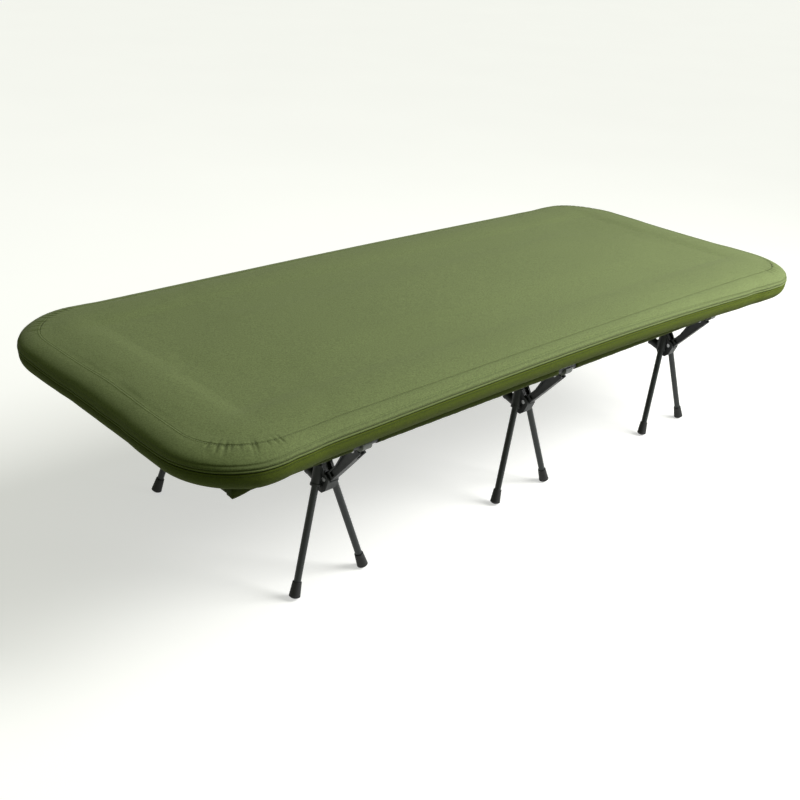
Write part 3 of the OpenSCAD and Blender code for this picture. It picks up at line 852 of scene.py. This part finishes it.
def make_zip_slider():
    """A stamped slider on the teeth, with the bridge that holds a drop-shaped pull."""
    along = (slider_low.x + slider_high.x) / 2
    station = min(range(len(PLAN[0])), key=lambda i: abs(PLAN[0][i][0] - along) + abs(PLAN[1][i][1] - 1))
    centre = (along, PLAN[0][station][1] + PAD.widest[station] - 3.4 * MM,
              (PAD.piping - PIPING_R - ZIP_SLOT / 2)[station])
    outline = [(-6.2, -2.6), (-4.0, -4.2), (4.4, -4.2), (6.2, -3.0),
               (6.2, 3.0), (4.4, 4.2), (-4.0, 4.2), (-6.2, 2.6)]
    body = block("slider_plate", [(u * MM, 0, w * MM) for u, w in outline],
                 [(u * 0.88 * MM, 1.6 * MM, w * 0.84 * MM) for u, w in outline], centre, 0.3 * MM)
    arch = [(-4.2, 1.5), (-3.2, 3.2), (2.6, 3.4), (4.2, 1.5),
            (3.2, 1.5), (2.2, 2.7), (-2.6, 2.5), (-3.3, 1.5)]
    bridge = block("slider_bridge", [(u * MM, v * MM, -1.1 * MM) for u, v in arch],
                   [(u * MM, v * MM, 1.1 * MM) for u, v in arch], centre, 0.2 * MM)
    slider = join("zip_slider_body", [body, bridge])
    dress(slider, "zip_metal", "zipper", ["zip_slider"])
    make_zip_pull(centre)


def make_zip_pull(centre):
    """The drop-shaped pull, a plate with a hole in its wide end."""
    steps = np.linspace(0, 2 * math.pi, 28, endpoint=False)
    drop = [(12 + 13 * math.cos(a), (2.3 + 1.2 * (1 + math.cos(a)) / 2) * math.sin(a)) for a in steps]
    hole = [(20.5 + 2.0 * math.cos(a), 1.5 * math.sin(a)) for a in steps]
    bm = bmesh.new()
    rings = [[bm.verts.new(np.array(centre) + (u * MM, depth * MM, w * MM)) for u, w in line]
             for depth in (2.1, 3.2) for line in (drop, hole)]
    count = len(steps)
    for i in range(count):
        j = (i + 1) % count
        bm.faces.new((rings[0][i], rings[0][j], rings[1][j], rings[1][i]))
        bm.faces.new((rings[2][j], rings[2][i], rings[3][i], rings[3][j]))
        bm.faces.new((rings[0][j], rings[0][i], rings[2][i], rings[2][j]))
        bm.faces.new((rings[1][i], rings[1][j], rings[3][j], rings[3][i]))
    bmesh.ops.recalc_face_normals(bm, faces=bm.faces)
    pull = object_from(bm, "zip_pull_tab")
    round_edges(pull, 0.25 * MM)
    shade_smooth(pull)
    dress(pull, "zip_metal", "zipper", ["zip_pull"])


def slacken(obj):
    """Gives the piece its own copy of its mesh."""
    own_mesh(obj)


def sheet_depth(x, y):
    """How far the sheet lies below its flat top; it ripples a little near its cut-outs."""
    ripple = 0.0
    for k in SETS:
        near = math.exp(-((x - SET_X[k]) / (55 * MM)) ** 2 - ((SHEET_EDGE - y) / (60 * MM)) ** 2)
        ripple += near * (0.6 + 0.6 * math.cos((x - SET_X[k]) / (9 * MM)))
    return ripple * MM * 0.9 + 0.25 * MM * (1 + math.sin(x * 21) * math.cos(y * 33))


def make_sheet_half(name, side):
    half_x = sheet_high.x
    xs = set(np.round(np.linspace(-half_x, half_x, 172), 5))
    for k in SETS:
        xs |= {round(SET_X[k] + s * (NOTCH_HALF + w * MM), 5) for s in (-1, 1) for w in (-3, 0, 3)}
    xs = sorted(xs)
    notch_y = SHEET_EDGE - NOTCH_DEPTH
    ys = [*np.linspace(0, notch_y - 4 * MM, 30)]
    ys += [notch_y - 2 * MM, notch_y, notch_y + 4 * MM, notch_y + 9 * MM, SHEET_EDGE]
    vertices = [(x, side * y, SHEET_TOP - sheet_depth(x, y)) for x in xs for y in ys]
    faces = []
    for i in range(len(xs) - 1):
        for j in range(len(ys) - 1):
            mx, my = (xs[i] + xs[i + 1]) / 2, (ys[j] + ys[j + 1]) / 2
            if my > notch_y and any(abs(mx - SET_X[k]) < NOTCH_HALF for k in SETS):
                continue
            a = i * len(ys) + j
            faces.append((a, a + 1, a + len(ys) + 1, a + len(ys)))
    obj = make_object(name, vertices, faces)
    outward_faces(obj, upwards=True)
    thicken(obj, CLOTH)
    return dress(obj, "cot_sheet", "frame", ["bed_sheet"])


def make_hem_half(name, end, side):
    """Half of a folded end hem, which turns down over the sheet's end and runs into the corner pocket."""
    start = sheet_high.x + 0.2 * MM
    turned_down = ((7, 1.2), (3, 3.5), (1.0, 7), (0.4, 11), (0.6, 15.5))
    path = [(start, SHEET_TOP), (start + 8 * MM, SHEET_TOP - 0.2 * MM)]
    path += [(TIP_X - inside * MM, SHEET_TOP - down * MM) for inside, down in turned_down]
    ys = np.linspace(0, SHEET_EDGE + 3.2 * MM, 40)
    vertices = [(end * x, side * y, z + 0.35 * MM * math.sin(y * 90 + x * 400)) for y in ys for x, z in path]
    obj = make_object(name, vertices, grid_faces(len(ys), len(path)))
    outward_faces(obj, upwards=True)
    thicken(obj, 1.8 * MM)
    return dress(obj, "cot_trim", "frame", ["sheet_end_hems"])


def make_sheet():
    for name, side in SIDES.items():
        half = make_sheet_half(f"sheet_{name}", side)
        slacken(half)
        for end_name, end in (("foot", -1), ("head", 1)):
            hem = make_hem_half(f"end_hem_{end_name}_{name}", end, side)
            slacken(hem)


def sleeve_path(x, start_x):
    """Section of a sleeve round its rail, from the hem's top ply round the rail and back under it."""
    outer = 9.4 * MM
    hem = RAIL_Y - SHEET_EDGE - 0.4 * MM
    top = [(-hem, outer), (-hem * 0.6, outer), (-hem * 0.25, outer)]
    ring = [(outer * math.sin(a), outer * math.cos(a)) for a in np.linspace(0, math.radians(318), 22)]
    under = [(-hem * 0.72, outer - 1.6 * MM), (-hem, outer - 1.5 * MM)]
    wrinkle = 0.25 * MM * math.sin((x - start_x) * 260) + 0.2 * MM * math.sin(x * 97 + 1)
    points = []
    for i, (u, v) in enumerate(top + ring + under):
        swell = wrinkle * math.sin(0.9 * i) if len(top) < i < len(top) + len(ring) - 2 else 0.0
        size = math.hypot(u, v)
        points.append((u + swell * u / size, v + swell * v / size))
    return points


def make_sleeve(name, side):
    stops = sorted([-SLEEVE_END, SLEEVE_END] + [SET_X[k] + s * NOTCH_HALF for k in SETS for s in (-1, 1)])
    vertices, faces = [], []
    for start, stop in zip(stops[0::2], stops[1::2]):
        count = max(2, round((stop - start) / (9 * MM)))
        base = len(vertices)
        for x in np.linspace(start, stop, count + 1):
            for u, v in sleeve_path(x, start):
                vertices.append((x, side * (RAIL_Y + u), RAIL_Z + v))
        width = len(sleeve_path(0, 0))
        faces += [tuple(i + base for i in f) for f in grid_faces(count + 1, width)]
    obj = make_object(f"sleeve_{name}", vertices, faces)
    outward_faces(obj)
    thicken(obj, 0.8 * MM)
    dress(obj, "cot_sheet", f"{name}_side", [f"rail_sleeve_{name}"])


def make_corner_pocket(name, side, end_name, end):
    """Closes a sleeve's end: round where it meets the sleeve, square and pointed at the cot's corner."""
    start = SLEEVE_END + 0.3 * MM
    stations = [(start, 0.0), (start + 4 * MM, 0.05), (start + 12 * MM, 0.3), (start + 22 * MM, 0.65),
                (TIP_X - 8 * MM, 0.9), (TIP_X - 3 * MM, 1.0), (TIP_X - 1.0 * MM, 1.0)]
    count = 40
    vertices = []
    for x, square in stations:
        for j in range(count):
            a = 2 * math.pi * j / count
            c, s = math.cos(a), math.sin(a)
            power = 2 + 5 * square
            reach = 9.5 * MM / (abs(c) ** power + abs(s) ** power) ** (1 / power)
            droop = -2.5 * MM * square * max(0, c) * max(0, -s)
            y = side * (RAIL_Y + reach * c * (1 - 0.02 * square))
            vertices.append((end * x, y, RAIL_Z + reach * s * 0.97 + droop))
    for shrink, x in ((0.86, TIP_X - 0.1 * MM), (0.4, TIP_X)):
        for j in range(count):
            _, y, z = vertices[(len(stations) - 1) * count + j]
            y = side * RAIL_Y + (y - side * RAIL_Y) * shrink
            vertices.append((end * x, y, RAIL_Z + (z - RAIL_Z) * shrink))
    faces = grid_faces(len(stations) + 2, count, wrap_columns=True)
    faces.append(tuple(range((len(stations) + 1) * count, (len(stations) + 2) * count)))
    faces.append(tuple(range(count - 1, -1, -1)))
    obj = make_object(f"corner_{end_name}_{name}", vertices, faces)
    clean_mesh(obj)
    dress(obj, "cot_trim", f"{name}_side", [f"corner_pockets_{name}"])


# ---------------------------------------------------------------- floor, light and camera
def look_along(yaw, pitch, roll):
    """Camera axes for a view turned right from +Y by yaw, down by pitch, and rolled."""
    forward = Vector((math.sin(yaw) * math.cos(pitch), math.cos(yaw) * math.cos(pitch), -math.sin(pitch)))
    right = Vector((math.cos(yaw), -math.sin(yaw), 0))
    up = right.cross(forward)
    rolled_right = right * math.cos(roll) + up * math.sin(roll)
    rolled_up = up * math.cos(roll) - right * math.sin(roll)
    return Matrix((rolled_right, rolled_up, -forward)).transposed()


def make_camera():
    """The camera, beyond the foot end's right corner, looks down along the cot."""
    data = bpy.data.cameras.new("camera")
    data.sensor_width = 36
    data.lens = 46.66
    camera = link_object("camera", data)
    turn = look_along(math.radians(44.96), math.radians(25.46), math.radians(4.13))
    camera.matrix_world = Matrix.Translation((-1.7189, -1.5518, 1.2341)) @ turn.to_4x4()
    bpy.context.scene.camera = camera


def make_floor():
    """A pale floor, slightly self-lit, that throws no colour back on the cot."""
    reach = 30
    corners = [(-reach, -reach, 0), (reach, -reach, 0), (reach, reach, 0), (-reach, reach, 0)]
    floor = make_object("floor", corners, [(0, 1, 2, 3)], smooth=False)
    floor.visible_diffuse = False
    n = Nodes("studio floor", (0.60, 0.60, 0.58), 0.9)
    tone = n.mix(n.spread(n.noise(1.2), 0.3, 0.7), (0.59, 0.59, 0.57, 1), (0.61, 0.61, 0.59, 1))
    n.put(n.shader.inputs["Base Color"], tone)
    n.shader.inputs["Emission Color"].default_value = (1, 1, 1, 1)
    n.shader.inputs["Emission Strength"].default_value = 0.56
    floor.data.materials.append(n.material)


def make_world():
    """A dim green-yellow fill on the cot, and a pale backdrop behind it."""
    world = bpy.data.worlds.new("studio")
    world.use_nodes = True
    tree = world.node_tree
    fill = tree.nodes["Background"]
    fill.inputs["Color"].default_value = (0.86, 1, 0.42, 1)
    fill.inputs["Strength"].default_value = 0.15
    backdrop = tree.nodes.new("ShaderNodeBackground")
    backdrop.inputs["Color"].default_value = (0.9, 0.9, 0.88, 1)
    either = tree.nodes.new("ShaderNodeMixShader")
    tree.links.new(tree.nodes.new("ShaderNodeLightPath").outputs["Is Camera Ray"], either.inputs[0])
    tree.links.new(fill.outputs[0], either.inputs[1])
    tree.links.new(backdrop.outputs[0], either.inputs[2])
    tree.links.new(either.outputs[0], tree.nodes["World Output"].inputs["Surface"])
    bpy.context.scene.world = world


def aim(light, direction):
    light.rotation_euler = Vector(direction).to_track_quat("-Z", "Y").to_euler()


def make_lights():
    """A wide soft sun and a square panel, both from the right of the head end."""
    sun = bpy.data.lights.new("key", "SUN")
    sun.energy = 2.2
    sun.angle = math.radians(34)
    aim(link_object("key", sun), (-0.86, 0.46, -0.80))
    panel = bpy.data.lights.new("head_side", "AREA")
    panel.shape = "RECTANGLE"
    panel.size = panel.size_y = 1.3
    panel.energy = 54
    light = link_object("head_side", panel)
    light.location = (1.2, -1.5, 1.6)
    aim(light, Vector((0.1, 0, 0.4)) - light.location)


bpy.context.scene.view_settings.view_transform = "Standard"
make_camera()
make_floor()
make_world()
make_lights()
make_top_panel()
make_side_band()
make_bottom_panel()
make_piping()
make_zip()
make_pad_stitching()
make_foam()
make_zip_slider()
make_sheet()
for side_name, side_sign in SIDES.items():
    make_sleeve(side_name, side_sign)
    for end_name, end_sign in (("foot", -1), ("head", 1)):
        make_corner_pocket(side_name, side_sign, end_name, end_sign)
